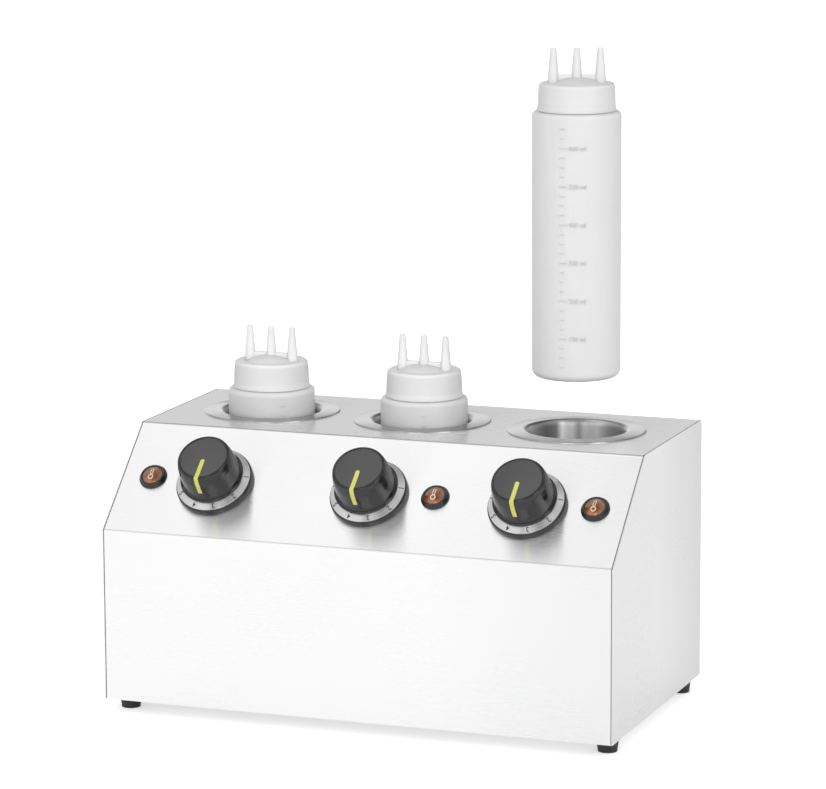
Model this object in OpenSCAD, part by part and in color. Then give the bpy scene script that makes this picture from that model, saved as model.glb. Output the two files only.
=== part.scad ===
// Three-well warmer for squeeze bottles of hot fudge topping.
// A bent stainless housing stands on four rubber feet. Three flanged wells hang in its top plate,
// each with a band heater, an insulating sleeve and a capillary thermostat whose knob and dial sit
// on the sloping front. The origin is the middle of the footprint, on the floor. The front faces -Y.

/* [Housing] */
// Spacing of the wells, knobs and dials along the width
well_pitch = 130; // [124:1:150]
// From the axis of an outer well to the outside of its side panel
end_margin = 81; // [80:1:110]
// Setback of the upper bend from the vertical front
slant_back = 79.5; // [74:0.5:90]
// Drop from the top plate to the lower bend
slant_drop = 72.5; // [68:0.5:84]
// Depth of the flat top plate
top_d = 151.5; // [140:0.5:180]
// From the upper bend back to the axes of the wells
well_back = 77.5; // [66:0.5:84]
// Room under the wells for the tray, down to the lower edge of the sheets
under_well = 18.5; // [14:0.5:40]
// Outside radius of the two bends of the wrapper
bend_r = 2.5; // [2:0.5:5]
// Thickness of the wrapper, back, base and tray sheets
sheet_t = 1; // [0.8:0.1:1.5]
// Thickness of the side panels
side_t = 1; // [0.8:0.1:1.5]
// Open seam between the wrapper and a side panel
seam = 0.5; // [0.2:0.1:1]
// Width of the edge that is turned in round a side panel
rim_w = 14; // [12:0.5:15]

/* [Feet] */
// Height of a rubber foot
foot_h = 11; // [8:0.5:20]
// Diameter of a foot under the base
foot_top_d = 18; // [16:0.5:22]
// Diameter of a foot on the floor
foot_floor_d = 15; // [13:0.5:16]
// From the side of the housing to the axis of a foot
foot_in = 11.5; // [11.5:0.5:13]
// From the front of the housing to the axis of a front foot
foot_from_front = 24; // [16:1:40]
// From the back of the housing to the axis of a back foot
foot_from_back = 17; // [13:1:40]
// Thread diameter of the foot screws
foot_screw_d = 4; // [3:0.5:5]

/* [Bottles] */
// Diameter of a bottle
bottle_d = 70; // [60:1:74]
// Height of a bottle from its base to its shoulder
bottle_h = 210; // [190:1:230]
// Wall of a bottle
bottle_wall = 1; // [0.8:0.1:2]
// Radius round the base of a bottle
base_r = 6; // [3:0.5:10]
// Radius of the shoulder
shoulder_r = 4; // [2:0.5:6]
// Diameter of the neck inside the cap
neck_d = 53.6; // [48:0.2:54]
// Height of the neck above the shoulder
neck_h = 16; // [12:0.5:17]
// How far the third bottle is held over its seat
lift_3 = 234; // [215:1:245]
// Height to which a bottle can be lifted from its seat
lift_max = 250; // [245:1:280]
// How far the third bottle is turned, so that its nozzles face the viewer
turn_3 = 20.6; // [0:0.1:90]
// How far left of the middle of its well the first bottle stands, as a part of its play
lean_1 = 0.15; // [0:0.05:0.8]
// How far right of the middle of its well the second bottle stands, as a part of its play
lean_2 = 0.55; // [0:0.05:0.8]
// How far left of the middle of its well the third bottle is held, as a part of its play
lean_3 = 0.2; // [0:0.05:0.8]

/* [Caps] */
// Diameter of a cap at its lower edge
cap_d = 62.2; // [61:0.2:66]
// Diameter of a cap at its top
cap_top_d = 59.2; // [58.8:0.1:60.4]
// Height of a cap without its nozzles
cap_h = 21.5; // [19:0.5:26]
// Thickness of the top of a cap
cap_wall = 1.8; // [1.2:0.1:2.5]
// Radius of the round upper edge
cap_edge_r = 2.5; // [1:0.1:3]
// Diameter of the dome that the nozzles stand on
dome_d = 42; // [40:0.5:46]
// Rise of the dome over the upper edge
dome_rise = 4.2; // [3:0.1:7]
// Height of the nozzles over the upper edge
nozzle_h = 27; // [20:0.5:40]
// Height of the web between the nozzles over the middle of the dome
web_over = 1.8; // [0.5:0.1:5]
// Thickness of the web
web_t = 4; // [2:0.5:6]
// Spacing of the nozzles
nozzle_pitch = 18.3; // [14:0.1:19]
// Diameter of a nozzle at its foot
nozzle_foot_d = 9.5; // [7:0.1:10]
// Diameter of a nozzle at its tip
nozzle_tip_d = 4.6; // [4:0.1:6]
// Bore of a nozzle
nozzle_bore_d = 2.6; // [1:0.1:3]

/* [Wells] */
// Gap between a bottle and the wall of its well
bottle_play = 3; // [1.5:0.1:4]
// Depth of a well below the top plate
well_depth = 190; // [185:1:210]
// Wall of a well
well_t = 1; // [0.8:0.1:1.5]
// Width of the flange round a well
flange_w = 17.2; // [10:0.1:19]
// Rise of the flange from its edge to the mouth
flange_rise = 0.6; // [0.4:0.1:1.2]
// Radius with which the flange turns down into the well
lip_r = 5; // [3:0.5:6]

/* [Controls] */
// How far the controls sit below the middle of the slope
controls_low = 1.8; // [0:0.1:4]
// Diameter of the top of a knob
knob_top_d = 41; // [36:0.2:43]
// Diameter of a knob at the foot of its side
knob_side_d = 46.6; // [44:0.2:50]
// Diameter of the lip round a knob
knob_lip_d = 51; // [50:0.2:54]
// Height of a knob over the panel
knob_h = 35; // [32:0.5:42]
// Depth of the dish in the top of a knob at its rim
knob_dish = 0.5; // [0.3:0.1:0.8]
// Height of the lower edge of a knob over the panel
knob_gap = 9.4; // [9.4:0.1:10.5]
// Width of the dial that shows past the lip
dial_band = 4.4; // [3:0.1:8]
// Height of the dial's outer edge over the panel
dial_h = 6; // [4.5:0.1:6]
// Diameter of a thermostat's spindle
spindle_d = 6; // [5:0.1:8]
// Width of the pointer
pointer_w = 3.4; // [2:0.1:5]
// Travel of a knob from nought to its highest number
knob_travel = 276; // [180:1:300]

/* [Lamps] */
// From the axis of a knob to the axis of its lamp
lamp_out = 54; // [48:0.1:56]
// How far the lamps stand above the knobs, up the slope
lamp_up = 1.8; // [0:0.1:4]
// Diameter of the bezel
bezel_d = 22.6; // [20:0.1:24]
// Height of the bezel over the panel
bezel_h = 3.6; // [3:0.1:5]
// Diameter of the lens
lens_d = 16.2; // [12:0.1:17]
// Height of the lens over the panel
lens_h = 5.6; // [5.2:0.1:7]

/* [Heating] */
// Height of a band heater
heater_h = 80; // [60:1:95]
// Height of the heater's lower edge over the floor of its well
heater_up = 30; // [25:1:40]
// Thickness of a band heater
heater_t = 2.5; // [1.5:0.1:4]
// Thickness of the insulating sleeve
blanket_t = 8; // [5:0.5:12]
// Diameter of the sensing bulbs
bulb_d = 6; // [4:0.1:7]
// Length of the sensing bulbs
bulb_l = 50; // [40:1:60]
// Diameter of the thermal cut-outs under the wells
cutout_d = 15; // [12:0.5:18]
// Width across a thermostat
thermostat_w = 40; // [36:1:46]
// Depth of a thermostat behind the panel
thermostat_d = 34; // [28:1:38]

/* [Power inlet] */
// From the side of the housing to the axis of the cable gland
gland_in = 45; // [35:1:80]
// Height of the gland's axis over the lower edge of the back
gland_up = 32; // [26:1:60]
// Bore of the gland
gland_bore_d = 8; // [6:0.5:9]
// Diameter of the gland's thread
gland_thread_d = 16; // [14:0.5:20]

/* [Hidden] */

// Working clearances
run_gap = 0.05;   // running fit of a spindle, on the radius
slip_gap = 0.3;   // between pieces that move past each other
seat_gap = 0.3;   // between a loose piece and the face that it rests on
hole_gap = 0.25;  // round a screw or a bush, on the radius
fit_gap = 0.1;    // between pieces that are pushed together
cut = 1;          // how far a cutting shape runs past the face that it opens

// Housing
body_w = 2 * (well_pitch + end_margin);
body_d = slant_back + top_d;
front_y = -body_d / 2;
back_y = body_d / 2;
well_floor_z = foot_h + under_well + well_t;
top_z = well_floor_z + well_depth;
bend_z = top_z - slant_drop;
inner_w = body_w - 2 * side_t;
wrap_w = inner_w - 2 * seam;
base_z = foot_h + sheet_t;
rim_in_x = inner_w / 2 - rim_w;
outline = [[front_y, foot_h], [back_y, foot_h], [back_y, top_z],
    [front_y + slant_back, top_z], [front_y, bend_z]];
bend_steps = 6;
rim_slack = 0.5;

// Sloping panel
slant_a = atan2(slant_drop, slant_back);
slant_len = norm([slant_back, slant_drop]);
controls_t = slant_len / 2 - controls_low;
lamp_side = [-1, 1, 1];

// Wells
well_xs = [-well_pitch, 0, well_pitch];
well_y = front_y + slant_back + well_back;
well_r = bottle_d / 2 + bottle_play;
leans = [-lean_1, lean_2, -lean_3];
well_out_r = well_r + well_t;
flange_r = well_r + flange_w;
well_corner_r = 4;
mouth_z = top_z + well_t + flange_rise;
lip_z = mouth_z - lip_r;
well_hole_r = well_r + lip_r + hole_gap;
flange_edge_r = 0.8;
lock_ring_w = 10;
lock_ring_t = 1.5;

// Tray
tray_z = well_floor_z - well_t;
tray_ring_h = 7;
tray_ring_t = 1.2;
tray_margin = 11;
tray_foot_w = 12;
tray_half_d = well_out_r + tray_margin;
tray_half_w = well_pitch + well_out_r + tray_margin;

// Heating
heater_z = well_floor_z + heater_up;
heater_r = well_out_r + run_gap;
heater_out_r = heater_r + heater_t;
heater_split = 6;
ear_t = 1.5;
ear_out = 9;
ear_h = 16;
clamp_screw_d = 4;
clamp_head_h = 2.6;
clamp_nut_h = 3.2;
clamp_screw_l = heater_split + 2 * ear_t + clamp_nut_h + 2;
blanket_r = heater_out_r + fit_gap;
blanket_slot = 32;
blanket_top_z = heater_z + heater_h + bulb_l + 8;
bulb_y = well_y - well_out_r - run_gap - bulb_d / 2;
bulb_z = heater_z + heater_h + 6;
capillary_d = 1.6;
cutout_body_l = 8;
cutout_plate_l = 32;
cutout_plate_w = 12;
cutout_plate_t = 1;
rivet_pitch = 25;
rivet_d = 3;
tab_w = 6.3;
tab_t = 0.8;
tab_l = 8;

// Thermostats
bush_d = 10;
bush_h = 2.5;
bracket_t = 1.5;
bracket_w = thermostat_w;
bracket_l = 46;
tstat_screw_pitch = 28;
tstat_screw_d = 4;
tstat_screw_in = 8;
screw_head_h = 2.4;
spindle_in = 20;
spindle_flat = 1;
hub_d = 14;

// Dials and knobs
dial_r = knob_lip_d / 2 + dial_band;
dial_t = 0.5;
dial_in_r = knob_lip_d / 2 - 2;
dial_slope = 0.4;
dial_in_h = dial_h + (dial_r - dial_in_r) * dial_slope;
dial_rim = 1.1;
dial_base_r = dial_r + dial_rim;
dial_base_floor = 2;
dial_edge_r = 2;
lip_h = 2.4;
lip_edge = 0.5;
knob_wall = 3.2;
knob_edge_r = 1.8;
dish_r = knob_top_d / 2 - 2.2;
roof_t = 2.5;
dish_a = 5;
dish_curve_r = dish_r / sin(dish_a);
dish_z = knob_h - knob_dish + dish_curve_r * cos(dish_a);
pointer_lift = 0.3;
pointer_depth = 0.6;
pointer_end = knob_h - 16;
pointer_start = 3;
spindle_top = knob_h - 7;

// Lamps
lamp_barrel_d = 14;
lamp_barrel_l = 26;
lamp_nut_d = 19;
lamp_nut_h = 3;
lens_seat = 1.6;

// Small screws
small_screw_d = 3.5;
small_head_d = 7;
small_head_h = 2.2;
small_screw_l = 9;
slot_w = 0.9;

// Vents
vent_l = 46;
vent_w = 3;
vent_step = 8;
vent_rows = 6;
base_flange_h = 12;

// Foot fastening
foot_recess_d = 9;
foot_recess_h = 4;
foot_head_d = 8;
foot_head_h = 2.6;
foot_nut_w = 7;
foot_nut_h = 3.2;
back_screw_in = rim_w / 2 + side_t;
back_screw_zs = [foot_h + 24, (foot_h + top_z) / 2, top_z - 24];

// Gland
gland_x = -body_w / 2 + gland_in;
gland_z = foot_h + gland_up;
gland_hex_d = gland_thread_d * 1.5;
gland_hex_h = 5;
gland_dome_l = 13;
gland_thread_l = 10;
gland_nut_h = 4;
block_l = 60;
block_w = 22;
block_h = 17;
block_poles = 5;
block_floor = 5;
block_x = rim_slack - rim_in_x + 4 + block_l / 2;
block_y = front_y + 43;
stud_x = block_x + block_l / 2 + 20;
stud_d = 5;
stud_h = 18;

// Bottles
neck_r = neck_d / 2;
bead_r = 0.6;
bottle_push_up = 1.5;
cap_under = neck_r + bead_r + slip_gap;

STEEL = "gainsboro";
ZINC = "silver";
BLACK = [0.13, 0.13, 0.14];
LIME = [0.80, 0.83, 0.35];
AMBER = [0.72, 0.36, 0.12];
MILK = [0.93, 0.93, 0.92, 0.8];
MICA = [0.62, 0.58, 0.50];
FIBRE = [0.90, 0.88, 0.80];
COPPER = [0.76, 0.48, 0.32];
CERAMIC = [0.92, 0.92, 0.88];

// Points along an arc from one angle to another, in n steps
function arc_points(c, r, from, to, n) =
    [for (i = [0:n]) let(a = from + (to - from) * i / n) c + r * [cos(a), sin(a)]];

// Points of the housing's outline, taken inwards by d, with its two bends rounded
function left_of(a, b) = let(e = b - a) [-e[1], e[0]] / norm(e);

function inset_corner(p, i, d) =
    let(n = len(p), u = left_of(p[(i + n - 1) % n], p[i]), v = left_of(p[i], p[(i + 1) % n]))
    p[i] + (u + v) * d / (1 + u * v);

function bend_points(p, i, d, r) =
    let(n = len(p), u = left_of(p[(i + n - 1) % n], p[i]), v = left_of(p[i], p[(i + 1) % n]),
        from = atan2(-u[1], -u[0]), turn = acos(u * v))
    arc_points(inset_corner(p, i, d + r), r, from, from + turn, bend_steps);

function profile(d) =
    let(r = max(bend_r - d, 0.3))
    concat([for (i = [0:2]) inset_corner(outline, i, d)],
        bend_points(outline, 3, d, r), bend_points(outline, 4, d, r));

// A point of the sloping panel: across it, up it, and out from its face
function slant_point(x, t, h) =
    [x, front_y + t * cos(slant_a) - h * sin(slant_a), bend_z + t * sin(slant_a) + h * cos(slant_a)];

// Places

module on_slant(x, t) {
    translate([x, front_y, bend_z]) rotate([slant_a, 0, 0]) translate([0, t, 0]) children();
}

module at_knob(k) {
    on_slant(well_xs[k], controls_t) children();
}

module at_lamp(k) {
    on_slant(well_xs[k] + lamp_side[k] * lamp_out, controls_t + lamp_up) children();
}

module at_well(k) {
    translate([well_xs[k], well_y, 0]) children();
}

module at_feet() {
    for (x = [-1, 1] * (body_w / 2 - foot_in))
        for (y = [front_y + foot_from_front, back_y - foot_from_back])
            translate([x, y, 0]) children();
}

module at_back_screws() {
    for (x = [-1, 1] * (body_w / 2 - back_screw_in))
        for (z = back_screw_zs)
            translate([x, back_y, z]) rotate([-90, 0, 0]) children();
}

module across(x, w) {
    translate([x, 0, 0]) rotate([90, 0, 90]) linear_extrude(w) children();
}

// Common shapes

module tube(r_out, r_in, h) {
    difference() {
        cylinder(r = r_out, h = h, $fn = 96);
        translate([0, 0, -cut]) cylinder(r = r_in, h = h + 2 * cut, $fn = 96);
    }
}

module slot_2d(l, w) {
    square([l - w, w], center = true);
    for (s = [-1, 1]) translate([s * (l - w) / 2, 0]) circle(d = w, $fn = 24);
}

// A cheese-headed screw whose head sits on z = 0, with its shank going down
module screw(d, l, head_d, head_h) {
    difference() {
        union() {
            cylinder(d = head_d, h = head_h, $fn = 32);
            translate([0, 0, -l]) cylinder(d = d, h = l + 0.1, $fn = 24);
        }
        for (a = [0, 90])
            rotate(a) translate([-head_d * 0.3, -slot_w / 2, head_h / 2])
                cube([head_d * 0.6, slot_w, head_h]);
    }
}

module hex_nut(across, bore, h) {
    difference() {
        cylinder(d = across / cos(30), h = h, $fn = 6);
        translate([0, 0, -cut]) cylinder(d = bore, h = h + 2 * cut, $fn = 24);
    }
}

module rod_between(a, b, d) {
    e = b - a;
    translate(a) rotate([0, acos(e[2] / norm(e)), atan2(e[1], e[0])]) cylinder(d = d, h = norm(e), $fn = 20);
}

// Housing sheets

module shell_wrap() {
    color(STEEL) difference() {
        across(-wrap_w / 2, wrap_w) difference() {
            polygon(profile(0));
            polygon(profile(sheet_t));
            translate([front_y + sheet_t, foot_h - cut]) square([body_d, sheet_t + cut]);
            translate([back_y - sheet_t, foot_h - cut])
                square([sheet_t + cut, top_z - sheet_t - foot_h + cut]);
        }
        for (k = [0:2]) {
            at_well(k) translate([0, 0, top_z - sheet_t - cut])
                cylinder(r = well_hole_r, h = sheet_t + 2 * cut, $fn = 96);
            at_knob(k) translate([0, 0, -sheet_t - cut]) {
                cylinder(d = bush_d + 2 * hole_gap, h = sheet_t + 2 * cut, $fn = 48);
                for (s = [-1, 1]) translate([s * tstat_screw_pitch / 2, 0, 0])
                    cylinder(d = tstat_screw_d + 2 * hole_gap, h = sheet_t + 2 * cut, $fn = 24);
            }
            at_lamp(k) translate([0, 0, -sheet_t - cut])
                cylinder(d = lamp_barrel_d + 2 * hole_gap, h = sheet_t + 2 * cut, $fn = 48);
        }
    }
}

// side = -1 for the left panel, 1 for the right one
module side_panel(side) {
    rim_x = side > 0 ? rim_in_x : -inner_w / 2;
    plate_x = side > 0 ? inner_w / 2 : -body_w / 2;
    color(STEEL) difference() {
        union() {
            across(plate_x, side_t) polygon(profile(0));
            across(rim_x, rim_w) difference() {
                polygon(profile(sheet_t));
                polygon(profile(sheet_t + side_t));
            }
        }
        at_feet() translate([0, 0, foot_h])
            cylinder(d = foot_screw_d + 2 * hole_gap, h = sheet_t + side_t + cut, $fn = 24);
        at_back_screws() translate([0, 0, -sheet_t - side_t - cut])
            cylinder(d = small_screw_d, h = sheet_t + side_t + cut, $fn = 24);
    }
}

module vents_2d() {
    for (i = [0:vent_rows - 1]) translate([0, (i - (vent_rows - 1) / 2) * vent_step]) slot_2d(vent_l, vent_w);
}

module back_panel() {
    color(STEEL) difference() {
        translate([-inner_w / 2, back_y - sheet_t, foot_h])
            cube([inner_w, sheet_t, top_z - sheet_t - foot_h]);
        at_back_screws() translate([0, 0, -sheet_t - cut])
            cylinder(d = small_screw_d + 2 * hole_gap, h = sheet_t + 2 * cut, $fn = 24);
        at_gland() translate([0, 0, -sheet_t - cut])
            cylinder(d = gland_thread_d + 2 * hole_gap, h = sheet_t + 2 * cut, $fn = 48);
        for (k = [0:2]) translate([well_xs[k], back_y + cut, top_z - vent_rows * vent_step])
            rotate([90, 0, 0]) linear_extrude(sheet_t + 2 * cut) vents_2d();
    }
}

module base_plate() {
    color(STEEL) difference() {
        union() {
            translate([-inner_w / 2, front_y + sheet_t, foot_h])
                cube([inner_w, body_d - 2 * sheet_t, sheet_t]);
            translate([-rim_in_x + rim_slack, front_y + sheet_t, foot_h])
                cube([2 * (rim_in_x - rim_slack), sheet_t, base_flange_h]);
            translate([-rim_in_x + rim_slack, back_y - 2 * sheet_t, foot_h])
                cube([2 * (rim_in_x - rim_slack), sheet_t, base_flange_h]);
        }
        at_feet() translate([0, 0, foot_h - cut])
            cylinder(d = foot_screw_d + 2 * hole_gap, h = sheet_t + 2 * cut, $fn = 24);
        at_tray_screws() translate([0, 0, -sheet_t - cut])
            cylinder(d = small_screw_d, h = sheet_t + 2 * cut, $fn = 24);
        at_block_screws() translate([0, 0, -sheet_t - cut])
            cylinder(d = small_screw_d, h = sheet_t + 2 * cut, $fn = 24);
        for (k = [0:2]) at_well(k) translate([0, 0, foot_h - cut])
            linear_extrude(sheet_t + 2 * cut) vents_2d();
    }
}

module back_screws() {
    color(ZINC) at_back_screws() screw(small_screw_d, small_screw_l, small_head_d, small_head_h);
}

// Feet

module feet() {
    color(BLACK) at_feet() difference() {
        cylinder(d1 = foot_floor_d, d2 = foot_top_d, h = foot_h, $fn = 48);
        translate([0, 0, -cut]) cylinder(d = foot_recess_d, h = foot_recess_h + cut, $fn = 32);
        cylinder(d = foot_screw_d, h = foot_h + cut, $fn = 24);
    }
}

module foot_screws() {
    shank = foot_h - foot_recess_h + sheet_t + side_t + foot_nut_h + 1;
    color(ZINC) at_feet() translate([0, 0, foot_recess_h]) mirror([0, 0, 1])
        screw(foot_screw_d, shank, foot_head_d, foot_head_h);
}

module foot_nuts() {
    color(ZINC) at_feet() translate([0, 0, base_z + side_t]) hex_nut(foot_nut_w, foot_screw_d, foot_nut_h);
}

// Tray under the wells

module at_tray_screws() {
    for (x = [-1, 1] * (tray_half_w - 20))
        for (s = [-1, 1])
            translate([x, well_y + s * (tray_half_d + tray_foot_w / 2), base_z]) children();
}

module well_tray() {
    color(ZINC) difference() {
        union() {
            translate([-tray_half_w, well_y - tray_half_d, tray_z - sheet_t])
                cube([2 * tray_half_w, 2 * tray_half_d, sheet_t]);
            for (y = [-tray_half_d, tray_half_d - sheet_t]) translate([-tray_half_w, well_y + y, base_z])
                cube([2 * tray_half_w, sheet_t, tray_z - base_z]);
            for (y = [-tray_half_d - tray_foot_w, tray_half_d - sheet_t])
                translate([-tray_half_w, well_y + y, base_z])
                    cube([2 * tray_half_w, tray_foot_w + sheet_t, sheet_t]);
            for (k = [0:2]) at_well(k) translate([0, 0, tray_z - 0.01])
                tube(well_out_r + fit_gap + tray_ring_t, well_out_r + fit_gap, tray_ring_h);
        }
        at_tray_screws() translate([0, 0, -cut])
            cylinder(d = small_screw_d + 2 * hole_gap, h = sheet_t + 2 * cut, $fn = 24);
        for (k = [0:2]) at_well(k) translate([0, 0, tray_z - sheet_t - cut]) {
            cylinder(d = cutout_d + 2 * hole_gap, h = sheet_t + 2 * cut, $fn = 48);
            for (s = [-1, 1]) translate([s * rivet_pitch / 2, 0, 0])
                cylinder(d = rivet_d, h = sheet_t + 2 * cut, $fn = 24);
        }
    }
}

module tray_screws() {
    color(ZINC) at_tray_screws() translate([0, 0, sheet_t])
        screw(small_screw_d, sheet_t * 2 + 3, small_head_d, small_head_h);
}

// Wells

module well(k) {
    out_corner = well_corner_r + well_t;
    color(STEEL) at_well(k) rotate_extrude($fn = 96) polygon(concat(
        [[0, tray_z]],
        arc_points([well_out_r - out_corner, tray_z + out_corner], out_corner, -90, 0, 6),
        arc_points([well_r + lip_r, lip_z], lip_r - well_t, 180, 90, 6),
        [[flange_r, top_z]],
        arc_points([flange_r - flange_edge_r, top_z + well_t - flange_edge_r], flange_edge_r, 0, 90, 4),
        arc_points([well_r + lip_r, lip_z], lip_r, 90, 180, 8),
        arc_points([well_r - well_corner_r, well_floor_z + well_corner_r], well_corner_r, 0, -90, 6),
        [[0, well_floor_z]]));
}

// Rings pushed on the wells from below, dished to clear the turn of the mouth, up against the top plate
module well_lock_rings() {
    grip_r = well_out_r + run_gap;
    ring_out_r = well_out_r + lock_ring_w;
    ring_top_z = top_z - sheet_t;
    color(ZINC) for (k = [0:2]) at_well(k) rotate_extrude($fn = 96) polygon([
        [grip_r, lip_z - 3 * lock_ring_t], [grip_r + lock_ring_t, lip_z - 3 * lock_ring_t],
        [ring_out_r, ring_top_z - lock_ring_t], [ring_out_r, ring_top_z],
        [well_hole_r, ring_top_z], [grip_r, lip_z]]);
}

// Heating

module band_heaters() {
    ear_z = (heater_h - ear_h) / 2;
    color(MICA) for (k = [0:2]) at_well(k) translate([0, 0, heater_z]) difference() {
        union() {
            tube(heater_out_r, heater_r, heater_h);
            for (x = [-heater_split / 2 - ear_t, heater_split / 2])
                translate([x, -heater_out_r - ear_out, ear_z]) cube([ear_t, ear_out + 1.5, ear_h]);
        }
        translate([-heater_split / 2, -heater_out_r - cut, -cut])
            cube([heater_split, heater_t + 2 * cut, heater_h + 2 * cut]);
        translate([0, -heater_out_r - ear_out / 2, heater_h / 2]) rotate([0, 90, 0])
            cylinder(d = clamp_screw_d + 2 * hole_gap, h = clamp_screw_l, center = true, $fn = 24);
    }
}

// Axis of the clamp screws, along X through both ears
module at_clamps() {
    for (k = [0:2]) at_well(k)
        translate([0, -heater_out_r - ear_out / 2, heater_z + heater_h / 2]) rotate([0, 90, 0]) children();
}

module heater_clamp_screws() {
    color(ZINC) at_clamps() translate([0, 0, heater_split / 2 + ear_t])
        screw(clamp_screw_d, clamp_screw_l, small_head_d, clamp_head_h);
}

module heater_clamp_nuts() {
    color(ZINC) at_clamps() translate([0, 0, -heater_split / 2 - ear_t - clamp_nut_h])
        hex_nut(foot_nut_w, clamp_screw_d, clamp_nut_h);
}

// Sleeves that stand on the tray, open at the front for the heater's ears and the bulb
module insulation_sleeves() {
    h = blanket_top_z - tray_z;
    color(FIBRE) for (k = [0:2]) at_well(k) translate([0, 0, tray_z]) difference() {
        tube(blanket_r + blanket_t, blanket_r, h);
        translate([-blanket_slot / 2, -blanket_r - blanket_t - cut, -cut])
            cube([blanket_slot, blanket_r + blanket_t + cut, h + 2 * cut]);
    }
}

// Discs that touch the undersides of the wells through the tray, each riveted up to it
module thermal_cutouts() {
    plate_z = -sheet_t - cutout_plate_t;
    for (k = [0:2]) at_well(k) translate([0, 0, tray_z]) {
        color(ZINC) union() {
            translate([0, 0, plate_z]) cylinder(d = cutout_d, h = -plate_z, $fn = 48);
            difference() {
                translate([-cutout_plate_l / 2, -cutout_plate_w / 2, plate_z])
                    cube([cutout_plate_l, cutout_plate_w, cutout_plate_t]);
                for (s = [-1, 1]) translate([s * rivet_pitch / 2, 0, plate_z - cut])
                    cylinder(d = rivet_d, h = cutout_plate_t + 2 * cut, $fn = 24);
            }
            translate([-tab_w / 2, -cutout_d / 2 - tab_l * 0.7, plate_z - cutout_body_l + 1])
                cube([tab_w, cutout_d + tab_l * 1.4, tab_t]);
            translate([0, 0, plate_z - cutout_body_l])
                cylinder(d = cutout_d - 1, h = cutout_body_l + 0.1, $fn = 48);
        }
    }
}

module cutout_rivets() {
    head_h = 1;
    color(ZINC) for (k = [0:2]) at_well(k) for (s = [-1, 1])
        translate([s * rivet_pitch / 2, 0, tray_z - sheet_t - cutout_plate_t - head_h]) {
            cylinder(d = 2 * rivet_d, h = head_h, $fn = 24);
            cylinder(d = rivet_d, h = head_h + cutout_plate_t + sheet_t, $fn = 24);
        }
}

// Bulbs against the wells, with thin tubes that run to the thermostats
module capillary_sensors() {
    color(COPPER) for (k = [0:2]) {
        x = well_xs[k] + thermostat_w / 4;
        top = [well_xs[k], bulb_y, bulb_z + bulb_l];
        port_h = -thermostat_d * 0.6;
        port_t = controls_t + thermostat_w / 2;
        port = slant_point(x, port_t, port_h);
        rise = slant_point(x, port_t + 10, port_h);
        crest = [(top[0] + x) / 2, (2 * top[1] + rise[1]) / 3, rise[2] + 12];
        route = [top, top + [0, 0, 6], crest, rise, port];
        translate([well_xs[k], bulb_y, bulb_z]) cylinder(d = bulb_d, h = bulb_l, $fn = 32);
        for (i = [0:len(route) - 2]) rod_between(route[i], route[i + 1], capillary_d);
        for (i = [1:len(route) - 2]) translate(route[i]) sphere(d = capillary_d + 0.2, $fn = 20);
    }
}

// Thermostats behind the sloping panel

module thermostat(k) {
    color(ZINC) at_knob(k) difference() {
        union() {
            translate([-bracket_w / 2, -bracket_l / 2, -sheet_t - bracket_t])
                cube([bracket_w, bracket_l, bracket_t]);
            translate([-thermostat_w / 2, -thermostat_w / 2, -sheet_t - thermostat_d])
                cube([thermostat_w, thermostat_w, thermostat_d - bracket_t + 0.01]);
            translate([0, 0, -sheet_t - bracket_t])
                cylinder(d = bush_d, h = sheet_t + bracket_t + bush_h, $fn = 48);
            for (x = [-1, 1] * thermostat_w * 0.3)
                for (y = [-1, 1] * thermostat_w * 0.22)
                    translate([x - tab_w / 2, y - tab_t / 2, -sheet_t - thermostat_d - tab_l])
                        cube([tab_w, tab_t, tab_l + 1]);
        }
        translate([0, 0, -sheet_t - spindle_in - 1])
            cylinder(d = spindle_d + 2 * run_gap, h = spindle_in + sheet_t + bush_h + 2, $fn = 48);
        for (s = [-1, 1]) translate([s * tstat_screw_pitch / 2, 0, -sheet_t - tstat_screw_in - 1])
            cylinder(d = tstat_screw_d, h = tstat_screw_in + 2, $fn = 24);
    }
}

module thermostat_screws() {
    for (k = [0:2]) color(ZINC) at_knob(k) for (s = [-1, 1])
        translate([s * tstat_screw_pitch / 2, 0, dial_base_floor])
            screw(tstat_screw_d, dial_base_floor + sheet_t + tstat_screw_in, small_head_d, screw_head_h);
}

// Round up to the hub, where a flat drives the knob
module spindle_shape() {
    difference() {
        translate([0, 0, -sheet_t - spindle_in])
            cylinder(d = spindle_d, h = spindle_top + sheet_t + spindle_in, $fn = 48);
        translate([spindle_d / 2 - spindle_flat, -spindle_d, knob_gap + 1])
            cube([spindle_d, 2 * spindle_d, spindle_top]);
    }
}

module spindle(k) {
    color(ZINC) at_knob(k) spindle_shape();
}

// Dials

module dial_base(k) {
    shelf_r = dial_in_r - 1.5;
    color(BLACK) at_knob(k) difference() {
        rotate_extrude($fn = 96) polygon(concat(
            [[bush_d / 2 + hole_gap, 0], [dial_base_r, 0]],
            arc_points([dial_base_r - dial_edge_r, dial_h - dial_t - dial_edge_r], dial_edge_r, 0, 60, 4),
            [[dial_r, dial_h - dial_t], [dial_in_r, dial_in_h - dial_t], [shelf_r, dial_in_h - dial_t],
            [shelf_r, dial_base_floor], [bush_d / 2 + hole_gap, dial_base_floor]]));
        for (s = [-1, 1]) translate([s * tstat_screw_pitch / 2, 0, -cut])
            cylinder(d = tstat_screw_d + 2 * hole_gap, h = dial_base_floor + 2 * cut, $fn = 24);
    }
}

module dial_ring(k) {
    color(ZINC) at_knob(k) rotate_extrude($fn = 96)
        polygon([[dial_in_r, dial_in_h - dial_t], [dial_r, dial_h - dial_t],
            [dial_r, dial_h], [dial_in_r, dial_in_h]]);
}

// Knobs

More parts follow.
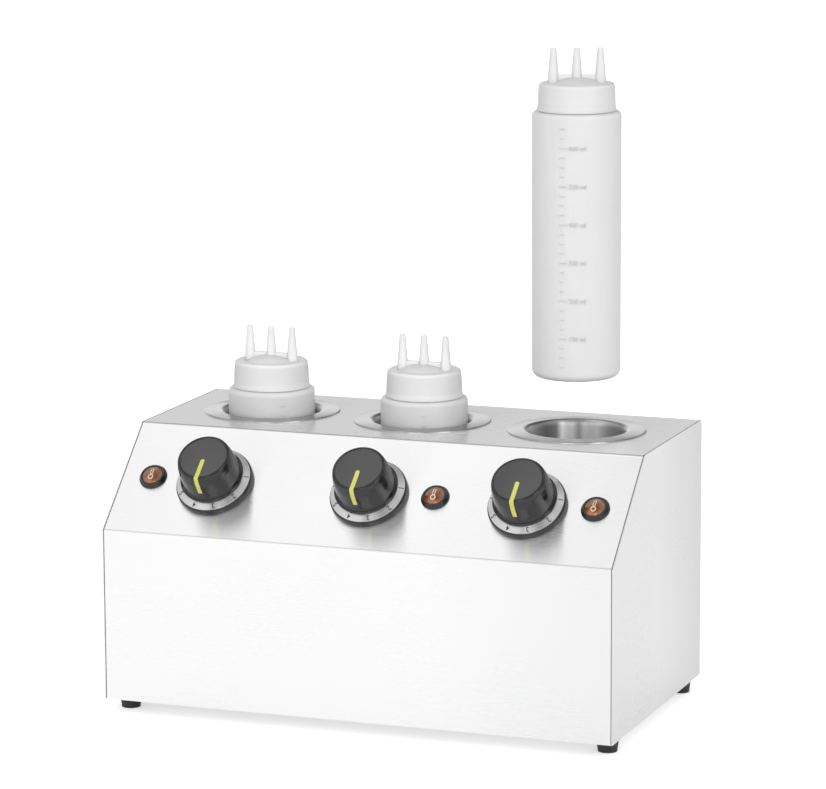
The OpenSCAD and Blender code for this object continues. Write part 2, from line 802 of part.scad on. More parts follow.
// Outline of a knob over its lip, as radius and height over the panel, moved outwards by d
function knob_face(d) = concat(
    [for (p = [[1.2, 0], [0.35, 1.5], [0.05, 5]]) [knob_side_d / 2 + p[0] + d, knob_gap + lip_h + p[1]]],
    [for (p = [[0.3, 13], [0.7, 8], [1.4, 4]]) [knob_side_d / 2 - p[0] + d, knob_h - p[1]]],
    arc_points([knob_top_d / 2 + 0.7 - knob_edge_r, knob_h - knob_edge_r], knob_edge_r + d, 15, 90, 4),
    arc_points([0, dish_z], dish_curve_r - d, dish_a - 90, -90, 5));

// The strip that the pointer fills, from below the knob's surface to a little over it
module pointer_strip(lift) {
    intersection() {
        union() {
            translate([-pointer_w / 2, -knob_lip_d, pointer_end])
                cube([pointer_w, knob_lip_d - pointer_start, knob_h]);
            translate([0, -pointer_start, pointer_end]) cylinder(d = pointer_w, h = knob_h, $fn = 32);
        }
        rotate_extrude($fn = 96) difference() {
            polygon(concat([[0, knob_gap]], knob_face(lift)));
            polygon(concat([[0, knob_gap]], knob_face(-pointer_depth)));
        }
    }
}

module pointer(k) {
    color(LIME) at_knob(k) pointer_strip(pointer_lift);
}

module knob(k) {
    roof_h = dish_z - dish_curve_r - roof_t;
    hollow_r = knob_side_d / 2 - knob_wall;
    color(BLACK) at_knob(k) difference() {
        rotate_extrude($fn = 96) polygon(concat(
            [[0, knob_gap], [knob_lip_d / 2 - lip_edge, knob_gap], [knob_lip_d / 2, knob_gap + lip_edge],
            [knob_lip_d / 2, knob_gap + lip_h - lip_edge], [knob_lip_d / 2 - lip_edge, knob_gap + lip_h]],
            knob_face(0)));
        difference() {
            translate([0, 0, knob_gap - cut])
                cylinder(r1 = hollow_r, r2 = knob_top_d / 2 - knob_wall, h = roof_h - knob_gap + cut,
                    $fn = 96);
            translate([0, 0, knob_gap]) cylinder(d = hub_d, h = knob_h, $fn = 48);
        }
        spindle_shape();
        pointer_strip(0);
    }
}

// Lamps

module lamp_body(k) {
    color(BLACK) at_lamp(k) difference() {
        union() {
            rotate_extrude($fn = 64) polygon([[0, 0], [bezel_d / 2, 0], [bezel_d / 2, 1],
                [bezel_d / 2 - 0.6, 2], [lens_d / 2 + 1.4, bezel_h], [0, bezel_h]]);
            translate([0, 0, -lamp_barrel_l]) cylinder(d = lamp_barrel_d, h = lamp_barrel_l + 0.1, $fn = 48);
        }
        translate([0, 0, lens_seat]) cylinder(d = lens_d + 2 * fit_gap, h = bezel_h, $fn = 64);
        for (s = [-1, 1]) translate([s * 3.5 - 2.4, -0.4, -lamp_barrel_l - cut]) cube([4.8, 0.8, 5]);
    }
}

module lamp_lens(k) {
    edge_h = bezel_h - 0.4;
    rise = lens_h - edge_h;
    dome_r = (pow(lens_d / 2, 2) + rise * rise) / (2 * rise);
    half_a = asin(lens_d / 2 / dome_r);
    color(AMBER) at_lamp(k) rotate_extrude($fn = 64) polygon(concat(
        [[0, lens_seat], [lens_d / 2, lens_seat]],
        arc_points([0, lens_h - dome_r], dome_r, 90 - half_a, 90, 8)));
}

module lamp_nuts() {
    color(BLACK) for (k = [0:2]) at_lamp(k) translate([0, 0, -sheet_t - lamp_nut_h])
        hex_nut(lamp_nut_d * cos(30), lamp_barrel_d, lamp_nut_h);
}

// Power inlet

module at_block_screws() {
    for (i = [1, block_poles - 1])
        translate([block_x - block_l / 2 + i * block_l / block_poles, block_y, base_z]) children();
}

module terminal_block() {
    gap_w = 8;
    color(CERAMIC) difference() {
        translate([block_x - block_l / 2, block_y - block_w / 2, base_z]) difference() {
            union() {
                cube([block_l, block_w, block_h * 0.55]);
                translate([0, block_w * 0.2, 0]) cube([block_l, block_w * 0.6, block_h]);
            }
            for (i = [1:block_poles - 1])
                translate([i * block_l / block_poles - gap_w / 2, -cut, block_floor])
                    cube([gap_w, block_w + 2 * cut, block_h]);
            for (i = [0:block_poles - 1])
                translate([(i + 0.5) * block_l / block_poles, block_w / 2, block_h * 0.6])
                    cylinder(d = 3, h = block_h, $fn = 24);
        }
        at_block_screws() translate([0, 0, -cut]) cylinder(d = small_screw_d, h = block_h, $fn = 24);
    }
}

module terminal_screws() {
    color(ZINC) at_block_screws() translate([0, 0, block_floor])
        screw(small_screw_d, block_floor + sheet_t + 2, small_head_d, small_head_h);
}

module earth_stud() {
    nut_h = 4;
    color("goldenrod") translate([stud_x, block_y, base_z]) {
        cylinder(d = stud_d, h = stud_h, $fn = 32);
        for (z = [0, nut_h + 3]) translate([0, 0, z]) cylinder(d = 9.2, h = nut_h, $fn = 6);
        translate([0, 0, nut_h]) cylinder(d = 10, h = 3, $fn = 32);
    }
}

module gland_bore() {
    translate([0, 0, -gland_thread_l - cut])
        cylinder(d = gland_bore_d, h = gland_thread_l + gland_hex_h + gland_dome_l + 2 * cut, $fn = 48);
}

module at_gland() {
    translate([gland_x, back_y, gland_z]) rotate([-90, 0, 0]) children();
}

module cable_gland() {
    color(BLACK) at_gland() difference() {
        union() {
            cylinder(d = gland_hex_d, h = gland_hex_h, $fn = 6);
            translate([0, 0, gland_hex_h])
                cylinder(d1 = gland_thread_d * 1.15, d2 = gland_thread_d * 0.85, h = gland_dome_l, $fn = 48);
            translate([0, 0, -gland_thread_l])
                cylinder(d = gland_thread_d, h = gland_thread_l + 0.1, $fn = 48);
        }
        gland_bore();
    }
}

module gland_nut() {
    color(BLACK) at_gland() translate([0, 0, -sheet_t - gland_nut_h])
        hex_nut(gland_hex_d * cos(30), gland_thread_d, gland_nut_h);
}

// Bottles

function bottle_seat(k) = well_floor_z + seat_gap + (k == 2 ? lift_3 : 0);

module at_bottle(k) {
    translate([well_xs[k] + leans[k] * bottle_play, well_y, bottle_seat(k)]) children();
}

module bottle(k) {
    r = bottle_d / 2;
    neck_in_r = neck_r - bottle_wall - 0.5;
    neck_top = bottle_h + neck_h;
    color(MILK) at_bottle(k) difference() {
        union() {
            rotate_extrude($fn = 96) polygon(concat(
                [[0, bottle_push_up], [r - base_r - 4, bottle_push_up]],
                arc_points([r - base_r, base_r], base_r, -90, 0, 6),
                arc_points([r - shoulder_r, bottle_h - shoulder_r], shoulder_r, 0, 90, 6),
                [[neck_r, bottle_h], [neck_r, neck_top], [0, neck_top]]));
            for (z = [5, 10]) translate([0, 0, bottle_h + z]) rotate_extrude($fn = 96)
                translate([neck_r, 0]) circle(r = bead_r, $fn = 16);
        }
        rotate_extrude($fn = 96) polygon(concat(
            [[0, bottle_push_up + bottle_wall], [r - base_r - 4, bottle_push_up + bottle_wall]],
            arc_points([r - base_r, base_r], base_r - bottle_wall, -90, 0, 6),
            arc_points([r - shoulder_r, bottle_h - shoulder_r], shoulder_r - bottle_wall, 0, 90, 6),
            [[neck_in_r, bottle_h - bottle_wall], [neck_in_r, neck_top + cut], [0, neck_top + cut]]));
    }
}

// The row of nozzles runs along the local X axis
module nozzle_row(foot_d, tip_d, from_z, to_z) {
    for (i = [-1:1]) translate([i * nozzle_pitch, 0, from_z])
        cylinder(d1 = foot_d, d2 = tip_d, h = to_z - from_z, $fn = 40);
}

module bottle_cap(k) {
    flare = 0.6;
    dip = 1.2;
    inside_h = cap_h - cap_wall - dip;
    rim_r = dome_d / 2;
    dome_r = (rim_r * rim_r + pow(dome_rise + dip, 2)) / (2 * (dome_rise + dip));
    half_a = asin(rim_r / dome_r);
    in_dome_r = dome_r - cap_wall;
    color(MILK) at_bottle(k) translate([0, 0, bottle_h + seat_gap]) rotate(k == 2 ? turn_3 : 0) difference() {
        union() {
            rotate_extrude($fn = 96) polygon(concat(
                [[0, 0], [cap_d / 2, 0], [cap_d / 2, 0.8], [cap_d / 2 - flare, 3.5],
                [(cap_d / 2 - flare + cap_top_d / 2) / 2 + 0.1, cap_h * 0.6]],
                arc_points([cap_top_d / 2 - cap_edge_r, cap_h - cap_edge_r], cap_edge_r, 0, 90, 6),
                [[rim_r + 1, cap_h], [rim_r, cap_h - dip]],
                arc_points([0, cap_h + dome_rise - dome_r], dome_r, 90 - half_a, 90, 8)));
            nozzle_row(nozzle_foot_d, nozzle_tip_d, cap_h - dip, cap_h + nozzle_h);
            translate([-nozzle_pitch, -web_t / 2, cap_h - dip])
                cube([2 * nozzle_pitch, web_t, dome_rise + web_over + dip]);
        }
        translate([0, 0, -cut]) cylinder(r = cap_under, h = inside_h + cut, $fn = 96);
        translate([0, 0, inside_h - 0.01]) rotate_extrude($fn = 96) intersection() {
            translate([0, cap_h + dome_rise - dome_r - inside_h]) circle(r = in_dome_r, $fn = 96);
            square([rim_r, cap_h]);
        }
        nozzle_row(nozzle_bore_d, nozzle_bore_d, inside_h - cut, cap_h + nozzle_h + cut);
    }
}

shell_wrap();
side_panel(-1);  // side_panel_left
side_panel(1);  // side_panel_right
back_panel();
base_plate();
back_screws();
feet();
foot_screws();
foot_nuts();
well_tray();
tray_screws();
well(0);  // well_1
well(1);  // well_2
well(2);  // well_3
well_lock_rings();
band_heaters();
heater_clamp_screws();
heater_clamp_nuts();
insulation_sleeves();
thermal_cutouts();
cutout_rivets();
capillary_sensors();
thermostat(0);  // thermostat_1
thermostat(1);  // thermostat_2
thermostat(2);  // thermostat_3
thermostat_screws();
dial_base(0);  // dial_base_1
dial_base(1);  // dial_base_2
dial_base(2);  // dial_base_3
dial_ring(0);  // dial_ring_1
dial_ring(1);  // dial_ring_2
dial_ring(2);  // dial_ring_3
knob(0);  // knob_1
knob(1);  // knob_2
knob(2);  // knob_3
pointer(0);  // pointer_1
pointer(1);  // pointer_2
pointer(2);  // pointer_3
spindle(0);  // spindle_1
spindle(1);  // spindle_2
spindle(2);  // spindle_3
lamp_body(0);  // lamp_body_1
lamp_body(1);  // lamp_body_2
lamp_body(2);  // lamp_body_3
lamp_lens(0);  // lamp_lens_1
lamp_lens(1);  // lamp_lens_2
lamp_lens(2);  // lamp_lens_3
lamp_nuts();
terminal_block();
terminal_screws();
earth_stud();
cable_gland();
gland_nut();
bottle(0);  // bottle_1
bottle(1);  // bottle_2
bottle(2);  // bottle_3
bottle_cap(0);  // bottle_cap_1
bottle_cap(1);  // bottle_cap_2
bottle_cap(2);  // bottle_cap_3
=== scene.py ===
import math

import bpy
from mathutils import Matrix, Quaternion, Vector


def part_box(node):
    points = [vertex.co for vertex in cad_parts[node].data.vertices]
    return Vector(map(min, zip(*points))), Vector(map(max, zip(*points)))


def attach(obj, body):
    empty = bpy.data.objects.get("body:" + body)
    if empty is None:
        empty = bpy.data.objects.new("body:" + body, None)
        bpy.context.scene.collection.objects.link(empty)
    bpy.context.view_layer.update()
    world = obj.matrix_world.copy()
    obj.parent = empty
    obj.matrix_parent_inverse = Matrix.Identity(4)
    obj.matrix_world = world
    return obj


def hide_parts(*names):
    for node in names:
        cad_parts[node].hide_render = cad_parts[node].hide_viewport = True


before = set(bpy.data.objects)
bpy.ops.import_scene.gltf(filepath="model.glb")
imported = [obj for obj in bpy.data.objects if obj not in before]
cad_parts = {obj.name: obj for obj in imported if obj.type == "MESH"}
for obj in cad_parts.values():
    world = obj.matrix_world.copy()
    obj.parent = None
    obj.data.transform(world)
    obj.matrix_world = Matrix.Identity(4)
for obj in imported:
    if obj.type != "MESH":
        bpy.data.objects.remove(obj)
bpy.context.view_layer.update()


# The viewpoint: a long lens on a tripod, in front of the warmer, a little to its right and above it. Place and
# turn were solved from the housing, the wells and the bottles.
AZIMUTH, ELEVATION, ROLL = math.radians(20.5734), math.radians(10.5934), math.radians(-0.2768)
towards_camera = Vector((math.sin(AZIMUTH) * math.cos(ELEVATION),
                         -math.cos(AZIMUTH) * math.cos(ELEVATION), math.sin(ELEVATION)))
camera = bpy.data.objects.new("product_camera", bpy.data.cameras.new("product_camera"))
camera.data.lens = 180.25
camera.data.sensor_width = 36.0
camera.data.clip_start, camera.data.clip_end = 0.1, 60.0
camera.location = (1.1365, -3.00768, 0.85011)
camera.rotation_mode = "QUATERNION"
camera.rotation_quaternion = (-towards_camera).to_track_quat("-Z", "Y") @ Quaternion((0, 0, 1), ROLL)
bpy.context.scene.collection.objects.link(camera)
bpy.context.scene.camera = camera
bpy.context.scene.view_settings.view_transform = "Standard"


# The studio: a white paper floor and white surroundings. Three softboxes hang overhead, in front and at the
# right. What shiny things mirror is a room of tall white panels with darker gaps, dark too under the ceiling
# at the back, so that the brushed steel goes from nearly white in front to a soft grey on top.
def add_node(material, kind, **values):
    node = material.node_tree.nodes.new(kind)
    for key, value in values.items():
        if hasattr(node, key):
            setattr(node, key, value)
        else:
            node.inputs[key.replace("_", " ")].default_value = value
    return node


def join(material, start, end):
    material.node_tree.links.new(start, end)


def feed(material, value, socket):
    """Joins a socket to another one, or sets it to a number, a vector or a colour."""
    if isinstance(value, bpy.types.NodeSocket):
        join(material, value, socket)
    else:
        socket.default_value = value


def calculate(material, operation, *values):
    """What a sum on numbers gives."""
    node = add_node(material, "ShaderNodeMath", operation=operation)
    for value, socket in zip(values, node.inputs):
        feed(material, value, socket)
    return node.outputs[0]


def between(material, value, low, high, at_low=0.3, at_high=0.7):
    """Spreads a value over a range of numbers."""
    span = add_node(material, "ShaderNodeMapRange")
    for key, number in (("From Min", at_low), ("From Max", at_high), ("To Min", low), ("To Max", high)):
        span.inputs[key].default_value = number
    join(material, value, span.inputs["Value"])
    return span.outputs[0]


def ramp_of(material, value, stops):
    """Colours a value from 0 to 1 by stops of place and colour, the first at 0 and the last at 1."""
    ramp = add_node(material, "ShaderNodeValToRGB")
    for step, (spot, colour) in enumerate(stops):
        if 0 < step < len(stops) - 1:
            ramp.color_ramp.elements.new(spot)
        ramp.color_ramp.elements[step].color = (*colour, 1)
    join(material, value, ramp.inputs[0])
    return ramp.outputs[0]


def softbox(name, place, aim, width, height, watts):
    lamp = bpy.data.objects.new(name, bpy.data.lights.new(name, "AREA"))
    lamp.data.shape = "RECTANGLE"
    lamp.data.size, lamp.data.size_y, lamp.data.energy = width, height, watts
    lamp.location = place
    lamp.rotation_mode = "QUATERNION"
    lamp.rotation_quaternion = (Vector(aim) - Vector(place)).to_track_quat("-Z", "Y")
    bpy.context.scene.collection.objects.link(lamp)


softbox("overhead_softbox", (-0.1, 0.1, 2.2), (0.0, 0.0, 0.2), 2.4, 2.0, 4.0)
softbox("front_softbox", (0.3, -2.6, 0.9), (0.0, 0.0, 0.25), 1.0, 1.6, 10.0)
softbox("right_softbox", (2.2, -1.3, 1.2), (0.0, 0.0, 0.25), 0.8, 1.4, 8.0)

world = bpy.data.worlds.new("studio")
bpy.context.scene.world = world
world.use_nodes = True
for old in list(world.node_tree.nodes):
    world.node_tree.nodes.remove(old)
rays = add_node(world, "ShaderNodeLightPath")
backdrop = add_node(world, "ShaderNodeBackground", Color=(1, 1, 1, 1), Strength=1.0)
fill_light = add_node(world, "ShaderNodeBackground", Color=(1, 1, 1, 1), Strength=0.85)
mirrored = add_node(world, "ShaderNodeBackground", Color=(1, 1, 1, 1))
direction = add_node(world, "ShaderNodeSeparateXYZ")
join(world, add_node(world, "ShaderNodeTexCoord").outputs["Generated"], direction.inputs[0])


def grade(axis, start, end, at_start, at_end):
    """Brightness of the surroundings, graded along one axis of the direction."""
    return between(world, direction.outputs[axis], at_start, at_end, start, end)


room = calculate(world, "MULTIPLY", grade("Y", -0.2, 0.95, 1.18, 1.1), grade("Z", 0.5, 0.9, 1.0, 0.82))
dark_ceiling = calculate(world, "MULTIPLY", grade("Y", 0.3, 0.5, 0.0, 0.7), grade("Z", 0.28, 0.45, 0.0, 1.0))
PANEL_EDGES = ((-1.0, 0.6), (-0.75, 0.85), (-0.45, 1.0), (-0.27, 1.0), (-0.17, 0.35), (0.12, 0.2),
               (0.3, 0.75), (0.38, 1.0), (0.6, 1.0), (0.78, 0.5), (1.0, 0.45))
panels = ramp_of(world, grade("X", -1.0, 1.0, 0.0, 1.0),
                 [((spot + 1) / 2, (bright,) * 3) for spot, bright in PANEL_EDGES])
room = calculate(world, "MULTIPLY", calculate(world, "SUBTRACT", room, dark_ceiling), panels)
join(world, room, mirrored.inputs["Strength"])
metal_sees = add_node(world, "ShaderNodeMixShader")
which = add_node(world, "ShaderNodeMixShader")
world_out = add_node(world, "ShaderNodeOutputWorld")
join(world, rays.outputs["Is Glossy Ray"], metal_sees.inputs[0])
join(world, fill_light.outputs[0], metal_sees.inputs[1])
join(world, mirrored.outputs[0], metal_sees.inputs[2])
seen = calculate(world, "MAXIMUM", rays.outputs["Is Camera Ray"], rays.outputs["Is Transmission Ray"])
join(world, seen, which.inputs[0])
join(world, metal_sees.outputs[0], which.inputs[1])
join(world, backdrop.outputs[0], which.inputs[2])
join(world, which.outputs[0], world_out.inputs[0])

bpy.ops.object.select_all(action="DESELECT")
bpy.ops.mesh.primitive_plane_add(size=14, location=(0, 0, 0))
floor = bpy.context.object
floor.name = "paper_floor"
paper = bpy.data.materials.new("white_paper")
paper.use_nodes = True
paper_shader = paper.node_tree.nodes["Principled BSDF"]
paper_shader.inputs["Base Color"].default_value = (0.9, 0.9, 0.9, 1)
paper_shader.inputs["Roughness"].default_value = 0.9
paper_shader.inputs["Specular IOR Level"].default_value = 0.1
paper_rays = add_node(paper, "ShaderNodeLightPath")
seen_lift = calculate(paper, "MULTIPLY", paper_rays.outputs["Is Camera Ray"], 0.45)
mirrored_lift = calculate(paper, "MULTIPLY", paper_rays.outputs["Is Glossy Ray"], 0.28)
paper_lift = calculate(paper, "MAXIMUM", seen_lift, mirrored_lift)
join(paper, paper_lift, paper_shader.inputs["Emission Strength"])
paper_shader.inputs["Emission Color"].default_value = (1, 1, 1, 1)
floor.data.materials.append(paper)


# Housing: 0.8 mm stainless sheet, brushed along its length, bent into front, slope and top in one piece. The
# two ends and the back are separate brushed sheets, and the base is bare steel.
MM = 0.001


def dress(material, *names):
    """Gives CAD nodes a finish."""
    for name in names:
        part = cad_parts[name]
        if not part.material_slots:
            part.data.materials.append(material)
        for place in part.material_slots:
            place.material = material


def new_finish(name, colour, roughness, metallic=0.0):
    material = bpy.data.materials.new(name)
    material.use_nodes = True
    shader = material.node_tree.nodes["Principled BSDF"]
    shader.inputs["Base Color"].default_value = (*colour, 1)
    shader.inputs["Roughness"].default_value = roughness
    shader.inputs["Metallic"].default_value = metallic
    return material, shader


def object_place(material):
    return add_node(material, "ShaderNodeTexCoord").outputs["Object"]


def parts_of(material, vector):
    """A vector's X, Y and Z."""
    split = add_node(material, "ShaderNodeSeparateXYZ")
    join(material, vector, split.inputs[0])
    return split.outputs


def on_vectors(material, operation, *values):
    """What a sum on vectors gives: a vector, or a number from a dot product or a length."""
    node = add_node(material, "ShaderNodeVectorMath", operation=operation)
    spots = (node.inputs[0], node.inputs["Scale"]) if operation == "SCALE" else node.inputs
    for value, socket in zip(values, spots):
        feed(material, value, socket)
    return node.outputs["Value" if operation in ("DOT_PRODUCT", "LENGTH") else "Vector"]


def grain(material, scale, detail=3.0, offset=(0, 0, 0), source=None):
    """A noise in object coordinates. A large number in scale makes fine detail along that axis."""
    spread = add_node(material, "ShaderNodeMapping")
    spread.inputs["Scale"].default_value = scale
    spread.inputs["Location"].default_value = offset
    noise = add_node(material, "ShaderNodeTexNoise", Scale=1.0, Detail=detail, Roughness=0.5)
    join(material, source or object_place(material), spread.inputs["Vector"])
    join(material, spread.outputs[0], noise.inputs["Vector"])
    return noise.outputs[0]


def tint(material, value, dark, light):
    """Spreads a noise between two colours."""
    ramp = add_node(material, "ShaderNodeValToRGB")
    ramp.color_ramp.elements[0].color, ramp.color_ramp.elements[1].color = (*dark, 1), (*light, 1)
    ramp.color_ramp.elements[0].position, ramp.color_ramp.elements[1].position = 0.3, 0.7
    join(material, value, ramp.inputs[0])
    return ramp.outputs[0]


def raise_grain(material, shader, value, strength, depth):
    bump = add_node(material, "ShaderNodeBump", Strength=strength, Distance=depth)
    join(material, value, bump.inputs["Height"])
    join(material, bump.outputs[0], shader.inputs["Normal"])


def brushed_sheet(name, along, tone, across_rough=0.26):
    """Stainless sheet brushed along one axis: long fine scratches, faint cloudiness and handling marks."""
    material, shader = new_finish(name, tone, across_rough, 1.0)
    scratches = grain(material, tuple(18 if axis == along else 3800 for axis in "XYZ"), 4.0)
    bands = grain(material, tuple(4 if axis == along else 420 for axis in "XYZ"), 2.0)
    cloud = grain(material, (9, 9, 9), 3.0, offset=(3.1, 0.7, 1.9))
    both = calculate(material, "ADD", between(material, scratches, 0.0, 0.6),
                     between(material, bands, 0.0, 0.4))
    dark, light = tuple(c * 0.992 for c in tone), tuple(min(c * 1.008, 1.0) for c in tone)
    join(material, tint(material, both, dark, light), shader.inputs["Base Color"])
    worn = calculate(material, "ADD", between(material, both, -0.008, 0.008),
                     between(material, cloud, across_rough - 0.01, across_rough + 0.02))
    join(material, worn, shader.inputs["Roughness"])
    shader.inputs["Anisotropic"].default_value = 0.98
    shader.inputs["Anisotropic Rotation"].default_value = 0.25
    lie = add_node(material, "ShaderNodeCombineXYZ", **{along: 1.0})
    join(material, lie.outputs[0], shader.inputs["Tangent"])
    raise_grain(material, shader, both, 0.02, 0.005 * MM)
    return material


def press_line(material, axis, spot, reach, strength):
    """Painted shade: a darker grey line along a bend, at one place along an axis."""
    off = calculate(material, "SUBTRACT", parts_of(material, object_place(material))[axis], spot)
    return between(material, calculate(material, "ABSOLUTE", off), strength, 1.0, reach * 0.45, reach)


def shade_colour(material, share):
    """Darkens a finish to a share of its own colour."""
    own = material.node_tree.nodes["Principled BSDF"].inputs["Base Color"]
    join(material, on_vectors(material, "SCALE", own.links[0].from_socket, share), own)


# Painted light and shade: the front and slope darken to the right end, and the top brightens a little. The
# side panels get painted shade towards the back, and dark painted shade inside the seam, where they meet the
# wrapper.
STEEL = (0.86, 0.86, 0.865)
SHELL_FRONT, SHELL_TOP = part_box("shell_wrap")[0].y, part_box("shell_wrap")[1].z
SLOPE_RUN, SLOPE_DROP = 79.1 * MM, 72.2 * MM
wrapper = brushed_sheet("brushed_wrapper", "X", STEEL)
# Painted shade along the two bend lines, and painted light and shade by place: darker to the right end,
# lighter on the top.
painted_bend_shade = calculate(wrapper, "MULTIPLY", press_line(wrapper, "Y", SHELL_FRONT + SLOPE_RUN, 0.7 * MM, 0.5),
                  press_line(wrapper, "Z", SHELL_TOP - SLOPE_DROP, 0.6 * MM, 0.75))
along_shell = parts_of(wrapper, object_place(wrapper))
painted_light_fall = calculate(wrapper, "MULTIPLY", between(wrapper, along_shell["X"], 0.0, 0.085, 0.06, 0.2),
                 between(wrapper, along_shell["Z"], 1.0, -0.9, SHELL_TOP - 2 * MM, SHELL_TOP - 0.5 * MM))
shade_colour(wrapper, calculate(wrapper, "MULTIPLY", painted_bend_shade, calculate(wrapper, "SUBTRACT", 1.0, painted_light_fall)))
dress(wrapper, "shell_wrap")
dress(brushed_sheet("brushed_back", "X", STEEL), "back_panel")

END_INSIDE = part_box("side_panel_right")[1].x - 1.0 * MM
# The side panels are the same stainless steel as the wrapper, painted a darker tone as shade.
ends = brushed_sheet("brushed_ends_painted_shade", "Y", (0.69, 0.69, 0.695))
along_ends = parts_of(ends, object_place(ends))
# Painted shade: dark inside the seam, where the wrapper meets the panel, and darker towards the back.
seam_painted_shade = between(ends, calculate(ends, "ABSOLUTE", along_ends["X"]), 0.2, 1.0,
                  END_INSIDE + 0.05 * MM, END_INSIDE + 0.2 * MM)
painted_shade_to_back = between(ends, along_ends["Y"], 1.0, 0.82, 0.0, 0.112)
shade_colour(ends, calculate(ends, "MULTIPLY", seam_painted_shade, painted_shade_to_back))
dress(ends, "side_panel_left", "side_panel_right")


def plated_steel(name, dark, light, roughness):
    """Zinc plate: a thin cloudy film with small crystals, duller where it has been handled."""
    material, shader = new_finish(name, light, roughness, 1.0)
    crystals = add_node(material, "ShaderNodeTexVoronoi", Scale=160.0)
    join(material, object_place(material), crystals.inputs["Vector"])
    cloud = grain(material, (60, 60, 60), 4.0)
    join(material, tint(material, cloud, dark, light), shader.inputs["Base Color"])
    join(material, between(material, crystals.outputs["Color"], roughness - 0.06, roughness + 0.08),
         shader.inputs["Roughness"])
    raise_grain(material, shader, cloud, 0.1, 0.05 * MM)
    return material


zinc = plated_steel("zinc_plate", (0.5, 0.5, 0.49), (0.66, 0.66, 0.65), 0.36)
dress(brushed_sheet("brushed_base", "X", (0.7, 0.7, 0.7), 0.36), "base_plate")
dress(zinc, "back_screws", "foot_screws", "foot_nuts", "tray_screws", "well_tray")


# Feet: four short cones of black rubber under the corners of the base, held by screws through it. Moulded
# rubber and plastic share one kind of finish, here and in the sections that follow.
def moulded(name, dark, light, roughness, pore=900, depth=0.03 * MM, cloud=40):
    """Fine texture from the mould, faint flow clouds, and duller and shinier places."""
    material, shader = new_finish(name, light, roughness)
    pores = grain(material, (pore, pore, pore), 2.0)
    flow = grain(material, (cloud, cloud, cloud), 3.0, offset=(1.7, 5.2, 0.3))
    join(material, tint(material, flow, dark, light), shader.inputs["Base Color"])
    join(material, between(material, flow, roughness - 0.05, roughness + 0.05), shader.inputs["Roughness"])
    raise_grain(material, shader, pores, 0.25, depth)
    return material


dress(moulded("black_rubber", (0.012, 0.012, 0.013), (0.02, 0.02, 0.021), 0.55, 700, 0.06 * MM), "feet")


# Wells: three deep-drawn stainless cups, spun and polished round their rims, hung in the top plate. Inside,
# the sheet is duller, with painted reflections and shade, lighter and darker by direction round the axis. The
# steel of the wells is painted a darker tone than the housing's, as shade.
WELL_X = (-0.130, 0.0, 0.130)
WELL_Y = (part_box("well_1")[0].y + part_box("well_1")[1].y) / 2
LIP_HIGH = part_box("well_1")[1].z - 0.3 * MM
LIP_LOW = LIP_HIGH - 3.0 * MM
PAINTED_LIGHT_AXIS = (0.936, 0.351, 0)
PAINTED_WALL_LIGHT = ((0.0, 0.62), (0.08, 0.4), (0.2, 0.26), (0.31, 0.36), (0.37, 1.0), (0.48, 1.0), (0.545, 0.45),
                 (0.61, 0.9), (0.74, 0.88), (0.82, 0.52), (0.93, 0.32), (1.0, 0.24))


def spun_steel(name, centre, tone, rough):
    """Stainless turned on a lathe: fine rings round the axis that passes through centre, along Z."""
    material, shader = new_finish(name, tone, rough, 1.0)
    split = parts_of(material, on_vectors(material, "SUBTRACT", object_place(material), (*centre, 0)))
    flat = add_node(material, "ShaderNodeCombineXYZ")
    join(material, split["X"], flat.inputs["X"])
    join(material, split["Y"], flat.inputs["Y"])
    ringed = add_node(material, "ShaderNodeCombineXYZ")
    join(material, on_vectors(material, "LENGTH", flat.outputs[0]), ringed.inputs["X"])
    join(material, split["Z"], ringed.inputs["Y"])
    rings = grain(material, (2600, 2600, 1), 3.0, source=ringed.outputs[0])
    cloud = grain(material, (30, 30, 30), 2.0)
    inside = between(material, split["Z"], 1.0, 0.0, LIP_LOW, LIP_HIGH)
    heading = on_vectors(material, "NORMALIZE", flat.outputs[0])
    # Painted reflections and shade on the inside wall, lighter and darker by direction round the axis.
    across = on_vectors(material, "DOT_PRODUCT", heading, PAINTED_LIGHT_AXIS)
    wall_light_ramp = ramp_of(material, between(material, across, 0.0, 1.0, -1.0, 1.0),
                      [(spot, (bright,) * 3) for spot, bright in PAINTED_WALL_LIGHT])
    tone_mix = add_node(material, "ShaderNodeMix", data_type="RGBA")
    join(material, inside, tone_mix.inputs["Factor"])
    join(material, tint(material, rings, tuple(c * 0.9 for c in tone), tone), tone_mix.inputs[6])
    join(material, wall_light_ramp, tone_mix.inputs[7])
    join(material, tone_mix.outputs[2], shader.inputs["Base Color"])
    join(material, between(material, inside, 1.0, 0.6, 0.0, 1.0), shader.inputs["Metallic"])
    rougher = calculate(material, "ADD", between(material, cloud, rough - 0.03, rough + 0.04),
                        between(material, inside, 0.0, 0.26, 0.0, 1.0))
    join(material, rougher, shader.inputs["Roughness"])
    turned = on_vectors(material, "CROSS_PRODUCT", flat.outputs[0], (0, 0, 1))
    join(material, turned, shader.inputs["Tangent"])
    shader.inputs["Anisotropic"].default_value = 0.95
    shader.inputs["Anisotropic Rotation"].default_value = 0.25
    raise_grain(material, shader, rings, 0.12, 0.04 * MM)
    return material


# The darker steel tone of the wells, next to the housing's, is painted shade.
for count, x in enumerate(WELL_X, 1):
    dress(spun_steel(f"spun_well_{count}", (x, WELL_Y), (0.45, 0.45, 0.45), 0.2), f"well_{count}")
dress(zinc, "well_lock_rings")


